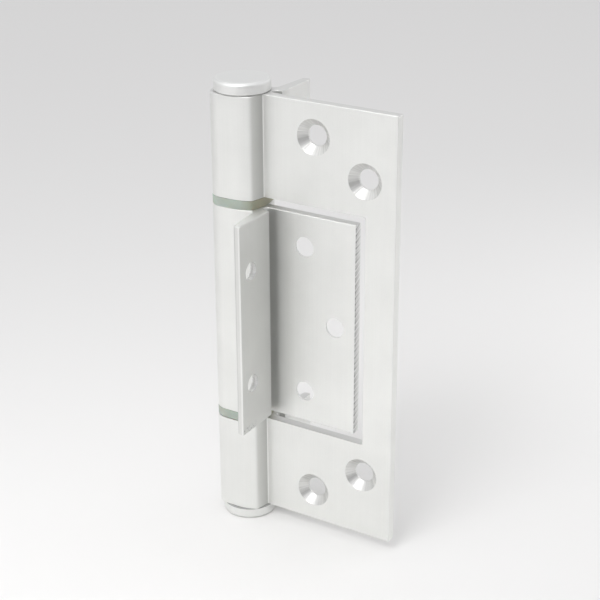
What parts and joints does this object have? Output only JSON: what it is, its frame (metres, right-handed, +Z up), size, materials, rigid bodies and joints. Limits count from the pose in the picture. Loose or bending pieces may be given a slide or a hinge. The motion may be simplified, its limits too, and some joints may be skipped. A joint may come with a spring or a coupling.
{
  "type": "interfold hinge",
  "caption": "Interfold hinge whose flanged leaves nest in one plane and turn on a common pin, with bushes between the knuckles, round end caps and countersunk screw holes.",
  "frame": {"origin": "on the hinge axis, at the centre of the lower cap's end face", "axes": "+Z up along the hinge axis, +X from the hinge axis to the leaves' free edges, +Y the way the outer leaf's flange points; the inner leaf's flange points to -Y"},
  "size_m": [0.0531, 0.0348, 0.1266],
  "materials": {
    "outer_leaf": "satin natural anodised extrusion",
    "inner_leaf": "satin natural anodised extrusion",
    "hinge_pin": "ground stainless steel",
    "bush": "moulded grey-green nylon",
    "cap": "fine turned, natural anodised"
  },
  "bodies": {
    "outer_leaf": {"outer_leaf": "outer_leaf", "hinge_pin": "hinge_pin", "top_cap": "cap", "bottom_cap": "cap"},
    "inner_leaf": {"inner_leaf": "inner_leaf", "upper_bush": "bush", "lower_bush": "bush"}
  },
  "joints": [
    {"name": "leaf_hinge", "type": "hinge", "parent": "outer_leaf", "child": "inner_leaf", "pos_m": [0, 0, 0.0633], "axis": [0, 0, -1], "range_deg": [0, 180]}
  ]
}
